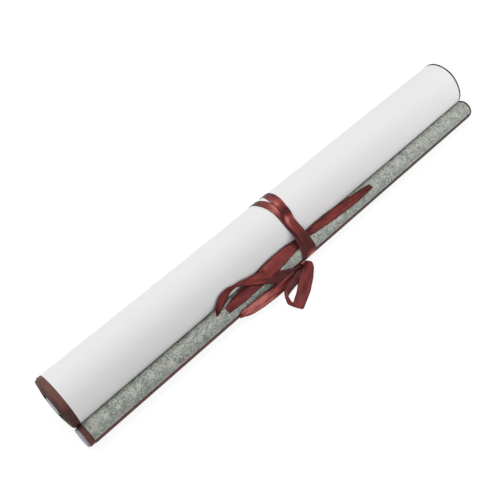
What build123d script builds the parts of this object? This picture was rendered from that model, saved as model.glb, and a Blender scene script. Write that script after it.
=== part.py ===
"""Rolled hanging scroll with its stave and a tied ribbon, lying on its side.

X runs along the roll, Z is up and the scroll rests on the plane Z = 0.  The roll's flat spot
lies under its axis at Y = 0 and the stave lies beside the roll at negative Y.
"""
import os
from math import asin, atan2, cos, degrees, radians, sin, sqrt
from typing import NamedTuple

from build123d import *

# Sheet, wound with its white back outwards
SHEET_WIDTH = 496.0
SHEET_THICKNESS = 0.6
EDGE_STRIP_WIDTH = 4.0
TURN_COUNT = 12
TURN_PITCH = 1.0
WINDING_INNER_RADIUS = 12.5
FLAT_SPOT_WIDTH = 5.0
GLUE_GAP = 0.05

# Roller rod inside the winding
ROLLER_DIAMETER = 17.0
ROLLER_OVERHANG = 3.0
ROD_END_CHAMFER = 0.5

# Stave beside the roll, with angles measured round its axis from +Y towards +Z
STAVE_DIAMETER = 18.0
STAVE_OVERHANG = 2.0
BROCADE_END_ANGLE = 169.0
TOP_STRIP_END_ANGLE = 300.0

# Ribbons
HANGING_WIDTH = 10.0
TIE_WIDTH = 12.0
RIBBON_THICKNESS = 0.2
RIBBON_CLEARANCE = 0.05

# Hanging ribbon, fastened to the stave at both ends and bowed towards the roll between them
HANGING_SPAN = 192.0
HANGING_CENTRE = 2.5
HANGING_END_OFFSET = -4.0
HANGING_BOW = 6.5
HANGING_FACE_ANGLE = 94.0

# Tie ribbon: two wraps round roll and stave, turned apart about Z
WRAP_UPPER_X = 4.6
WRAP_LOWER_X = -4.0
WRAP_LOWER_TURN = 6.0

# Bow, tied low on the stave's outer side
KNOT_X = -8.0
KNOT_ANGLE = 205.0
KNOT_STANDOFF = 1.6
KNOT_SIZE = (9.0, 8.0, 8.0)
KNOT_FILLET = 2.0
FRONT_LOOP_ROOT = 0.5
FRONT_LOOP_REACH = 43.0
FRONT_LOOP_OPENING = 14.0
FRONT_LOOP_ANGLE = 210.0
FRONT_LOOP_LEAN = (0.5, -0.5, 0.71)
SIDE_LOOP_LENGTH = 73.0
SIDE_LOOP_OPENING = 6.0
SIDE_LOOP_STANDOFF = 6.8
SIDE_LOOP_HEIGHT = 6.0
SIDE_LOOP_LEAN = 28.0
TAIL_KNEE = (-62.0, 3.6)
TAIL_TIP = (-101.0, -1.5)
TAIL_START_OFFSET = -8.0
TAIL_FACE_ANGLE = 120.0

# Derived places
ROLL_RADIUS = WINDING_INNER_RADIUS + TURN_COUNT * TURN_PITCH + SHEET_THICKNESS
FLAT_SPOT_DEPTH = ROLL_RADIUS - sqrt(ROLL_RADIUS**2 - (FLAT_SPOT_WIDTH / 2) ** 2)
ROLL_HEIGHT = ROLL_RADIUS - FLAT_SPOT_DEPTH
OUTER_TURN_RADIUS = ROLL_RADIUS - SHEET_THICKNESS / 2
COVER_RADIUS = STAVE_DIAMETER / 2 + GLUE_GAP + SHEET_THICKNESS / 2
STAVE_HEIGHT = COVER_RADIUS + SHEET_THICKNESS / 2
AXIS_DISTANCE = OUTER_TURN_RADIUS + COVER_RADIUS
STAVE_Y = -sqrt(AXIS_DISTANCE**2 - (ROLL_HEIGHT - STAVE_HEIGHT) ** 2)
LEAN_ANGLE = degrees(atan2(ROLL_HEIGHT - STAVE_HEIGHT, -STAVE_Y))
PANEL_LENGTH = SHEET_WIDTH - 2 * EDGE_STRIP_WIDTH
STAVE_SKIN_RADIUS = COVER_RADIUS + SHEET_THICKNESS / 2
KNOT_Y = STAVE_Y + (STAVE_SKIN_RADIUS + KNOT_STANDOFF) * cos(radians(KNOT_ANGLE))
KNOT_Z = STAVE_HEIGHT + (STAVE_SKIN_RADIUS + KNOT_STANDOFF) * sin(radians(KNOT_ANGLE))


class Bend(NamedTuple):
    """One circular stretch of the sheet's centre line, seen along -X; a negative sweep is clockwise."""

    centre: tuple[float, float]
    radius: float
    start: float
    sweep: float


def winding() -> list[Bend]:
    """Centre line from the roller rod out to the line where the sheet leaves the roll."""
    glued = ROLLER_DIAMETER / 2 + GLUE_GAP + SHEET_THICKNESS / 2
    first = WINDING_INNER_RADIUS + SHEET_THICKNESS / 2
    bends = [Bend((0, ROLL_HEIGHT), glued, 360, -180)]
    bends.append(Bend(((first - glued) / 2, ROLL_HEIGHT), (first + glued) / 2, 180, -180))
    for turn in range(TURN_COUNT):
        radius = first + turn * TURN_PITCH
        bends.append(Bend((0, ROLL_HEIGHT), radius, 360, -180))
        bends.append(Bend((TURN_PITCH / 2, ROLL_HEIGHT), radius + TURN_PITCH / 2, 180, -180))
    bends.append(Bend((0, ROLL_HEIGHT), OUTER_TURN_RADIUS, 360, LEAN_ANGLE - 180))
    return bends


def round_stave(start: float, end: float) -> Bend:
    """Centre line of the cover over the stave, anticlockwise between two angles."""
    return Bend((STAVE_Y, STAVE_HEIGHT), COVER_RADIUS, start, end - start)


def sheet_band(bends: list[Bend]) -> Sketch:
    """Section of the sheet: its centre line given the sheet's thickness."""
    edges = []
    ends = []
    for half in (SHEET_THICKNESS / 2, -SHEET_THICKNESS / 2):
        side = []
        for bend in bends:
            grow = half if bend.sweep < 0 else -half
            side.append(CenterArc(bend.centre, bend.radius + grow, bend.start, bend.sweep))
        edges += side
        ends.append((side[0] @ 0, side[-1] @ 1))
    edges.append(Line(ends[0][0], ends[1][0]))
    edges.append(Line(ends[0][1], ends[1][1]))
    return make_face(edges)


def along_x(section: Sketch, start: float, length: float) -> Part:
    """Section in Y and Z, drawn out along X from a starting place."""
    return Pos(start, 0, 0) * extrude(Plane.YZ * section, length)


def rod(diameter: float, length: float, y: float, z: float) -> Part:
    """Round rod along X with chamfered ends."""
    bar = Rot(0, 90, 0) * Cylinder(diameter / 2, length)
    bar = chamfer(bar.edges().filter_by(GeomType.CIRCLE), ROD_END_CHAMFER)
    return Pos(0, y, z) * bar


def above_floor(solid: Part, height: float, start: float, length: float) -> Part:
    """What is left of a solid above a height, over a stretch of X."""
    reach = 4 * ROLL_RADIUS
    cutter = Pos(start + length / 2, 0, height - reach / 2) * Box(length, 2 * reach, reach)
    return solid - cutter


def bundle_outline(margin: float, floor: float) -> Sketch:
    """Outline of a band drawn tight round roll and stave, cut off level above the floor."""
    roll = Pos(0, ROLL_HEIGHT) * Circle(ROLL_RADIUS + margin)
    stave = Pos(STAVE_Y, STAVE_HEIGHT) * Circle(STAVE_SKIN_RADIUS + margin)
    outline = make_hull(roll.edges() + stave.edges())
    reach = 4 * ROLL_RADIUS
    return outline - Pos(0, floor - reach / 2) * Rectangle(2 * reach, reach)


def wrap(x: float, turn: float) -> Part:
    """One turn of ribbon round roll and stave, in a plane turned about Z."""
    inner = RIBBON_CLEARANCE
    section = bundle_outline(inner + RIBBON_THICKNESS, 0) - bundle_outline(inner, RIBBON_THICKNESS)
    tube = along_x(section, x - ROLL_RADIUS, 2 * ROLL_RADIUS)
    slab = Box(TIE_WIDTH, 8 * ROLL_RADIUS, 8 * ROLL_RADIUS)
    return tube & (Pos(x, 0, 0) * Rot(0, 0, turn) * slab)


def stave_plane(angle: float) -> Plane:
    """Plane through the stave's axis that faces out at an angle round it."""
    facing = (0, cos(radians(angle)), sin(radians(angle)))
    return Plane(origin=(0, STAVE_Y, STAVE_HEIGHT), x_dir=(1, 0, 0), z_dir=facing)


def stave_skin(layer: int) -> float:
    """Radius at which a layer of ribbon lies on the stave's cover."""
    return STAVE_SKIN_RADIUS + RIBBON_CLEARANCE + layer * (RIBBON_THICKNESS + RIBBON_CLEARANCE)


def laid_on_stave(line: Curve, width: float, angle: float, layer: int) -> Part:
    """Ribbon along a line, laid on the stave's cover in a given layer."""
    inner = stave_skin(layer)
    skin = Cylinder(inner + RIBBON_THICKNESS, SHEET_WIDTH) - Cylinder(inner, SHEET_WIDTH)
    skin = Pos(0, STAVE_Y, STAVE_HEIGHT) * Rot(0, 90, 0) * skin
    outline = trace(line, width)
    return skin & extrude(stave_plane(angle) * outline, 2 * ROLL_RADIUS)


def hanging_ribbon() -> Part:
    """Ribbon fastened to the stave at both ends and bowed towards the roll between them."""
    half = HANGING_SPAN / 2
    line = ThreePointArc(
        (HANGING_CENTRE - half, HANGING_END_OFFSET),
        (HANGING_CENTRE, HANGING_END_OFFSET + HANGING_BOW),
        (HANGING_CENTRE + half, HANGING_END_OFFSET),
    )
    return laid_on_stave(line, HANGING_WIDTH, HANGING_FACE_ANGLE, 0)


def knot() -> Part:
    """Knot seated on the stave's cover, on its outer side."""
    lump = fillet(Box(*KNOT_SIZE).edges(), KNOT_FILLET)
    seat = Rot(0, 90, 0) * Cylinder(stave_skin(0), 4 * KNOT_SIZE[0])
    return Pos(KNOT_X, KNOT_Y, KNOT_Z) * lump - Pos(KNOT_X, STAVE_Y, STAVE_HEIGHT) * seat


def teardrop(reach: float, opening: float) -> Curve:
    """Outline of a loop of ribbon seen along its width: two limbs from the knot round a curved tip."""
    radius = opening / 2
    spine = reach - radius
    taper = degrees(asin(radius / spine))
    tip = CenterArc((spine, 0), radius, -90 - taper, 180 + 2 * taper)
    return Curve() + [Line((0, 0), tip @ 0), tip, Line(tip @ 1, (0, 0))]


def front_loop() -> Part:
    """Loop of the bow that lies out on the floor, a band leaning away from the stave."""
    root = Pos(KNOT_X, KNOT_Y - FRONT_LOOP_ROOT) * Rot(0, 0, FRONT_LOOP_ANGLE)
    outline = root * teardrop(FRONT_LOOP_REACH, FRONT_LOOP_OPENING)
    return extrude(trace(outline, RIBBON_THICKNESS), TIE_WIDTH, dir=FRONT_LOOP_LEAN)


def side_loop() -> Part:
    """Loop of the bow that lies along the stave, a band leaning back towards it."""
    lean = (0, cos(radians(SIDE_LOOP_LEAN)), sin(radians(SIDE_LOOP_LEAN)))
    root = (KNOT_X, STAVE_Y - STAVE_SKIN_RADIUS - SIDE_LOOP_STANDOFF, SIDE_LOOP_HEIGHT)
    band = trace(teardrop(SIDE_LOOP_LENGTH, SIDE_LOOP_OPENING), RIBBON_THICKNESS)
    return extrude(Plane(origin=root, x_dir=(-1, 0, 0), z_dir=lean) * band, TIE_WIDTH / 2, both=True)


def tail() -> Part:
    """Free tail of the bow, laid up over the stave and back down."""
    line = Polyline((KNOT_X, TAIL_START_OFFSET), TAIL_KNEE, TAIL_TIP)
    return laid_on_stave(line, TIE_WIDTH, TAIL_FACE_ANGLE, 1)


def tie_ribbon() -> Part:
    """Tie ribbon: wraps, knot, two loops and a tail in one piece."""
    wraps = [wrap(WRAP_UPPER_X, 0), wrap(WRAP_LOWER_X, WRAP_LOWER_TURN)]
    return knot().fuse(*wraps, front_loop(), side_loop(), tail())


def ribbon_bed(solid: Part) -> Part:
    """Sheet pressed in by the wraps where they pass under it."""
    start = WRAP_LOWER_X - TIE_WIDTH
    length = WRAP_UPPER_X + TIE_WIDTH - start
    return above_floor(solid, RIBBON_THICKNESS + RIBBON_CLEARANCE, start, length)


def build() -> dict[str, Part]:
    """All pieces of the scroll by name."""
    roll = winding()
    brocade = round_stave(LEAN_ANGLE, BROCADE_END_ANGLE)
    top_strip = round_stave(BROCADE_END_ANGLE, TOP_STRIP_END_ANGLE)
    panel_start = -PANEL_LENGTH / 2

    paper = along_x(sheet_band(roll), panel_start, PANEL_LENGTH)
    paper = above_floor(paper, 0, panel_start, PANEL_LENGTH)
    border = sheet_band(roll + [round_stave(LEAN_ANGLE, TOP_STRIP_END_ANGLE)])
    left = along_x(border, -SHEET_WIDTH / 2, EDGE_STRIP_WIDTH)
    right = along_x(border, PANEL_LENGTH / 2, EDGE_STRIP_WIDTH)
    roller_length = SHEET_WIDTH + 2 * ROLLER_OVERHANG
    stave_length = SHEET_WIDTH + 2 * STAVE_OVERHANG
    return {
        "roller_rod": rod(ROLLER_DIAMETER, roller_length, 0, ROLL_HEIGHT),
        "paper_sheet": ribbon_bed(paper),
        "brocade_panel": along_x(sheet_band([brocade]), panel_start, PANEL_LENGTH),
        "edge_strip_left": above_floor(left, 0, -SHEET_WIDTH / 2, EDGE_STRIP_WIDTH),
        "edge_strip_right": above_floor(right, 0, PANEL_LENGTH / 2, EDGE_STRIP_WIDTH),
        "edge_strip_top": ribbon_bed(along_x(sheet_band([top_strip]), panel_start, PANEL_LENGTH)),
        "stave": rod(STAVE_DIAMETER, stave_length, STAVE_Y, STAVE_HEIGHT),
        "hanging_ribbon": hanging_ribbon(),
        "tie_ribbon": tie_ribbon(),
    }


if __name__ == "__main__":
    os.makedirs("parts", exist_ok=True)
    for name, solid in build().items():
        export_step(solid, os.path.join("parts", name + ".step"))
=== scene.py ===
"""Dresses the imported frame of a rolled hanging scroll: paper, brocade, bound edges, rods and ribbons.

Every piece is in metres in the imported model's frame: X runs along the roll, Z is up and the floor
is Z = 0.  Angles round the roll and the stave are in degrees from +Y towards +Z.
"""
from __future__ import annotations

import logging
import math
from dataclasses import dataclass, field
from enum import Enum
from typing import Any, Callable, Mapping, Sequence, Union

import bpy
from mathutils import Matrix, Vector, noise

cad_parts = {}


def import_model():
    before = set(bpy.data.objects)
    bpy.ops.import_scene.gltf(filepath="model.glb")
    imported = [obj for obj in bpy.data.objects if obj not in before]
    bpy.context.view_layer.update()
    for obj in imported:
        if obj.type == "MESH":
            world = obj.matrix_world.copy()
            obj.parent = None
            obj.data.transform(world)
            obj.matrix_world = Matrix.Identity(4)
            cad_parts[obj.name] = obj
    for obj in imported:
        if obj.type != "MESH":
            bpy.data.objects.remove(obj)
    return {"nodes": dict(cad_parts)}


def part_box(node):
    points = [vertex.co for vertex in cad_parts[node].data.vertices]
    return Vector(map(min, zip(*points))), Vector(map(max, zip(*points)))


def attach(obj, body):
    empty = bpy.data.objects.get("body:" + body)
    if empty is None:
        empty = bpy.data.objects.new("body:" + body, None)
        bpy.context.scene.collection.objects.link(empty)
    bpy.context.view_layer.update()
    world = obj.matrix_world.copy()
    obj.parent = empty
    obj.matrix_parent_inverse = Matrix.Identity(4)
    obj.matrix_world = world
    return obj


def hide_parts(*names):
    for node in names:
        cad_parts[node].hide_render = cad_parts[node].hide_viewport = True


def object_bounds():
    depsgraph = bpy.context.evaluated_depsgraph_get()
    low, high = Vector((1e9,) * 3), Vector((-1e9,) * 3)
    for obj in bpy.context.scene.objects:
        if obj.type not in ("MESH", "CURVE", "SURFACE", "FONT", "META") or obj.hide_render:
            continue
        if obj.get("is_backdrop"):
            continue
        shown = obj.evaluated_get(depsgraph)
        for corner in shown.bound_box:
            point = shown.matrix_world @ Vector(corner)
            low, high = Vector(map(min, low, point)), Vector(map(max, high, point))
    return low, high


LOG = logging.getLogger("scroll")
MM = 0.001
BODY = "root"
# Name of the mesh attribute that holds the satin's painted light and shade.
PAINTED_LIGHT = "tone"
SHARP_DEGREES = 40.0
TURN_PITCH = 1.0 * MM
BELOW = 270.0
Colour = tuple[float, float, float, float]
Point = tuple[float, float, float]
Limits = tuple[float, float]
Term = Union["Wire", float, tuple]


def tint(red: float, green: float, blue: float) -> Colour:
    """Colour for a shader from the values that a screen shows.

    Args:
        red: screen value from 0 to 255, as are green and blue.
        green: screen value.
        blue: screen value.

    Returns:
        The linear colour, with full alpha.
    """
    linear = []
    for value in (red, green, blue):
        share = value / 255
        linear.append(share / 12.92 if share <= 0.04045 else ((share + 0.055) / 1.055) ** 2.4)
    return (linear[0], linear[1], linear[2], 1.0)


def grey(level: float) -> Colour:
    """Neutral linear colour of a level from 0 to 1."""
    return (level, level, level, 1.0)


def clamped(share: float) -> float:
    """The share, kept between 0 and 1."""
    return min(max(share, 0.0), 1.0)


def eased(share: float) -> float:
    """Smooth rise from 0 to 1, flat on both sides."""
    part = clamped(share)
    return part * part * (3 - 2 * part)


def spread(start: float, end: float, count: int) -> list[float]:
    """Evenly spaced values from start to end, both included."""
    return [start + (end - start) * number / count for number in range(count + 1)]


def pick(sockets: Any, key: int | str) -> bpy.types.NodeSocket:
    """Socket by its number, or the first one in use with that name.

    Args:
        sockets: a node's inputs or outputs.
        key: the number or the name.

    Returns:
        The socket.
    """
    if isinstance(key, int):
        return sockets[key]
    return next(socket for socket in sockets if socket.name == key and socket.enabled)


class Wire:
    """An output socket on which arithmetic adds Math nodes."""

    def __init__(self, bench: NodeBench, socket: bpy.types.NodeSocket) -> None:
        """Keeps the socket and the bench that it is on."""
        self.bench = bench
        self.socket = socket

    def _with(self, operation: str, first: Term, second: Term = 0.0) -> Wire:
        """Result of one Math node on two values or wires."""
        return self.bench.node("ShaderNodeMath", {"operation": operation}, {0: first, 1: second})

    def __add__(self, other: Term) -> Wire:
        """Sum of two terms."""
        return self._with("ADD", self, other)

    def __sub__(self, other: Term) -> Wire:
        """This term less the other."""
        return self._with("SUBTRACT", self, other)

    def __rsub__(self, other: Term) -> Wire:
        """The other term less this one."""
        return self._with("SUBTRACT", other, self)

    def __mul__(self, other: Term) -> Wire:
        """Product of two terms."""
        return self._with("MULTIPLY", self, other)

    def __abs__(self) -> Wire:
        """This term without its sign."""
        return self._with("ABSOLUTE", self)

    __radd__ = __add__
    __rmul__ = __mul__

    def larger(self, other: Term) -> Wire:
        """The larger of two terms."""
        return self._with("MAXIMUM", self, other)

    def fade(self, low: float, high: float) -> Wire:
        """Soft step that is 0 where this term is at low and 1 where it is at high."""
        values = {"Value": self, "From Min": low, "From Max": high}
        return self.bench.node("ShaderNodeMapRange", {"interpolation_type": "SMOOTHSTEP"}, values)


class NodeBench:
    """A node tree that is filled node by node."""

    def __init__(self, tree: bpy.types.NodeTree) -> None:
        """Starts from an empty tree."""
        self.tree = tree
        self.tree.nodes.clear()

    def add(
        self,
        kind: str,
        settings: Mapping[str, Any] | None = None,
        values: Mapping[int | str, Term] | None = None,
    ) -> bpy.types.Node:
        """Adds a node, sets it up and feeds its sockets.

        Args:
            kind: the node's type name.
            settings: its own settings, which are set first.
            values: a value or a wire for each socket, by name or number.

        Returns:
            The node.
        """
        made = self.tree.nodes.new(kind)
        for key, setting in (settings or {}).items():
            setattr(made, key, setting)
        for key, value in (values or {}).items():
            self.feed(pick(made.inputs, key), value)
        return made

    def node(
        self,
        kind: str,
        settings: Mapping[str, Any] | None = None,
        values: Mapping[int | str, Term] | None = None,
        output: int | str = 0,
    ) -> Wire:
        """Adds a node, to go on from one of its outputs.

        Args:
            kind: the node's type name.
            settings: its own settings, which are set first.
            values: a value or a wire for each socket, by name or number.
            output: the output to go on from.

        Returns:
            The chosen output.
        """
        return self.wire(self.add(kind, settings, values), output)

    def wire(self, made: bpy.types.Node, output: int | str) -> Wire:
        """One of a node's outputs, to go on from."""
        return Wire(self, pick(made.outputs, output))

    def feed(self, socket: bpy.types.NodeSocket, value: Term) -> None:
        """Links a wire to a socket, or sets the socket's own value.

        Args:
            socket: the input to feed.
            value: the wire or the value.
        """
        if isinstance(value, Wire):
            self.tree.links.new(value.socket, socket)
        else:
            socket.default_value = value


class MaterialBench(NodeBench):
    """Node tree of one material, or of the world."""

    def __init__(self, owner: bpy.types.Material | bpy.types.World) -> None:
        """Opens the owner's tree."""
        owner.use_nodes = True
        super().__init__(owner.node_tree)

    def place(self, source: str, stretch: Point = (1, 1, 1)) -> Wire:
        """Object or UV coordinates in metres, stretched along each axis."""
        coords = self.node("ShaderNodeTexCoord", None, None, source)
        return self.node("ShaderNodeMapping", None, {"Vector": coords, "Scale": stretch})

    def parts(self, place: Wire) -> list[Wire]:
        """The X, Y and Z of a place."""
        made = self.add("ShaderNodeSeparateXYZ", None, {0: place})
        return [self.wire(made, axis) for axis in ("X", "Y", "Z")]

    def cloud(self, place: Wire, size: float, detail: float = 2.0) -> Wire:
        """Noise from 0 to 1 with features of about a size in metres."""
        values = {"Vector": place, "Scale": 1 / size, "Detail": detail}
        return self.node("ShaderNodeTexNoise", {"noise_dimensions": "3D"}, values, "Fac")

    def blend(self, share: Term, first: Term, second: Term) -> Wire:
        """Colour between two, by a share from 0 to 1, on the Mix node's colour sockets."""
        settings = {"data_type": "RGBA", "clamp_factor": True}
        return self.node("ShaderNodeMix", settings, {0: share, 6: first, 7: second}, 2)

    def bump(self, height: Wire, depth: float, strength: float) -> Wire:
        """Normal of a surface with a height from 0 to 1 worth a depth in metres."""
        values = {"Height": height, "Distance": depth, "Strength": strength}
        return self.node("ShaderNodeBump", None, values, "Normal")

    def seen(self) -> Wire:
        """Which rays see a surface as the camera does.

        Returns:
            1 on rays from the camera, or by way of glossy or clear surfaces.
        """
        path = self.add("ShaderNodeLightPath")
        camera = self.wire(path, "Is Camera Ray")
        glossy = self.wire(path, "Is Glossy Ray")
        clear = self.wire(path, "Is Transmission Ray")
        return camera.larger(glossy.larger(clear))

    def close(self, kind: str, shader: Wire) -> None:
        """Ends the tree in its output node."""
        self.add(kind, None, {"Surface": shader})


@dataclass(frozen=True)
class Finish:
    """Base of the finishes: a named material whose look depends on the finish."""

    name: str
    roughness: float = 0.5
    roughness_spread: float = 0.2
    relief: float = 0.05 * MM
    relief_strength: float = 0.5

    def paint(self, bench: MaterialBench) -> dict[str, Term]:
        """Socket values of the surface, by name."""
        raise NotImplementedError

    def uneven(self, wave: Wire) -> Wire:
        """Roughness that follows a wave from 0 to 1 about the finish's own."""
        return wave * self.roughness_spread + (self.roughness - self.roughness_spread / 2)

    def raised(self, bench: MaterialBench, height: Wire) -> Wire:
        """Normal of the surface with the finish's relief."""
        return bench.bump(height, self.relief, self.relief_strength)

    def material(self) -> bpy.types.Material:
        """The finish's material, made when it is first asked for.

        Returns:
            The material, with its node tree filled.
        """
        known = bpy.data.materials.get(self.name)
        if known is not None:
            return known
        made = bpy.data.materials.new(self.name)
        bench = MaterialBench(made)
        shader = bench.node("ShaderNodeBsdfPrincipled", None, self.paint(bench), "BSDF")
        bench.close("ShaderNodeOutputMaterial", shader)
        return made


@dataclass(frozen=True)
class PaperFinish(Finish):
    """White backing paper with long fibres and a faint cloudiness."""

    body: Colour = tint(243, 240, 241)
    cloudy: Colour = tint(235, 231, 232)
    roughness: float = 0.72
    roughness_spread: float = 0.12
    relief_strength: float = 0.35
    specular: float = 0.3
    cloud_size: float = 45 * MM
    cloud_edges: Limits = (0.35, 0.7)
    cloud_share: float = 0.7
    cloud_relief: float = 2.0
    fibre_size: float = 1.2 * MM
    fibre_stretch: Point = (0.25, 1, 1)
    fibre_edges: Limits = (0.55, 0.8)
    fibre_share: float = 0.3

    def paint(self, bench: MaterialBench) -> dict[str, Term]:
        """Cloudy white with fibres pressed into it.

        Args:
            bench: the material's node tree.

        Returns:
            Socket values of the surface, by name.
        """
        clouds = bench.cloud(bench.place("Object"), self.cloud_size, 3.0)
        fibres = bench.cloud(bench.place("Object", self.fibre_stretch), self.fibre_size, 4.0)
        cloudiness = clouds.fade(*self.cloud_edges) * self.cloud_share
        cloudiness = cloudiness + fibres.fade(*self.fibre_edges) * self.fibre_share
        return {
            "Base Color": bench.blend(cloudiness, self.body, self.cloudy),
            "Roughness": self.uneven(fibres),
            "Specular IOR Level": self.specular,
            "Normal": self.raised(bench, fibres + clouds * self.cloud_relief),
        }


@dataclass(frozen=True)
class BindingFinish(Finish):
    """Brown paper of the bound edges, with fine laid lines, worn spots and painted light and shade."""

    body: Colour = tint(100, 60, 54)
    deep: Colour = tint(78, 46, 42)
    # Colour of the worn spots and of the painted highlight on top.
    rubbed_and_lit: Colour = tint(130, 90, 82)
    # Painted shade towards the far end.
    far_shade: Colour = tint(64, 50, 48)
    # Painted shade low on the roll's side.
    low_shade: Colour = tint(60, 38, 34)
    roughness: float = 0.58
    relief: float = 0.04 * MM
    specular: float = 0.2
    cloud_size: float = 9 * MM
    cloud_edges: Limits = (0.35, 0.65)
    line_size: float = 0.5 * MM
    line_stretch: Point = (1, 0.1, 0.1)
    line_share: float = 0.15
    rub_size: float = 2.2 * MM
    rub_edges: Limits = (0.6, 0.78)
    rub_share: float = 0.6
    top_heights: Limits = (36 * MM, 47 * MM)
    top_share: float = 0.4
    low_heights: Limits = (25 * MM, 46 * MM)
    roll_side: Limits = (-27.5 * MM, -24.5 * MM)
    low_share: float = 0.85
    far_places: Limits = (-180 * MM, 220 * MM)
    far_share: float = 0.85

    def paint(self, bench: MaterialBench) -> dict[str, Term]:
        """Clouded brown with worn spots, a painted highlight on top, and painted shade low on the roll and
        towards the far end.

        Args:
            bench: the material's node tree.

        Returns:
            Socket values of the surface, by name.
        """
        coords = bench.place("Object")
        clouds = bench.cloud(coords, self.cloud_size, 4.0)
        lines = bench.cloud(bench.place("Object", self.line_stretch), self.line_size)
        rubs = bench.cloud(coords, self.rub_size, 5.0).fade(*self.rub_edges)
        along, depth, height = bench.parts(coords)
        # Painted highlight along the top of the bound edge.
        high = height.fade(*self.top_heights) * self.top_share
        # Painted shade low on the roll's side of the bound edge.
        low = (1 - height.fade(*self.low_heights)) * depth.fade(*self.roll_side) * self.low_share
        # Painted shade towards the far end.
        far = along.fade(*self.far_places) * self.far_share
        ground = bench.blend(clouds.fade(*self.cloud_edges), self.deep, self.body)
        ground = bench.blend(rubs * self.rub_share + lines * self.line_share, ground, self.rubbed_and_lit)
        ground = bench.blend(high, ground, self.rubbed_and_lit)
        ground = bench.blend(low, ground, self.low_shade)
        return {
            "Base Color": bench.blend(far, ground, self.far_shade),
            "Roughness": self.uneven(clouds),
            "Specular IOR Level": self.specular,
            "Normal": self.raised(bench, lines + rubs),
        }


@dataclass(frozen=True)
class PaintFinish(Finish):
    """Pale painted wood of the rods, with grain that shows through the paint."""

    body: Colour = tint(154, 161, 169)
    worn: Colour = tint(122, 130, 139)
    roughness: float = 0.42
    relief: float = 0.08 * MM
    grain_size: float = 1.1 * MM
    grain_stretch: Point = (0.06, 1, 1)
    grain_edges: Limits = (0.4, 0.75)
    grain_share: float = 0.5
    smear_size: float = 6 * MM
    smear_edges: Limits = (0.45, 0.75)
    smear_share: float = 0.4

    def paint(self, bench: MaterialBench) -> dict[str, Term]:
        """Thin paint over grain that runs along the rod.

        Args:
            bench: the material's node tree.

        Returns:
            Socket values of the surface, by name.
        """
        grain = bench.cloud(bench.place("Object", self.grain_stretch), self.grain_size, 4.0)
        smears = bench.cloud(bench.place("Object"), self.smear_size, 3.0)
        wear = grain.fade(*self.grain_edges) * self.grain_share
        wear = wear + smears.fade(*self.smear_edges) * self.smear_share
        return {
            "Base Color": bench.blend(wear, self.body, self.worn),
            "Roughness": self.uneven(grain),
            "Normal": self.raised(bench, grain),
        }


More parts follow.
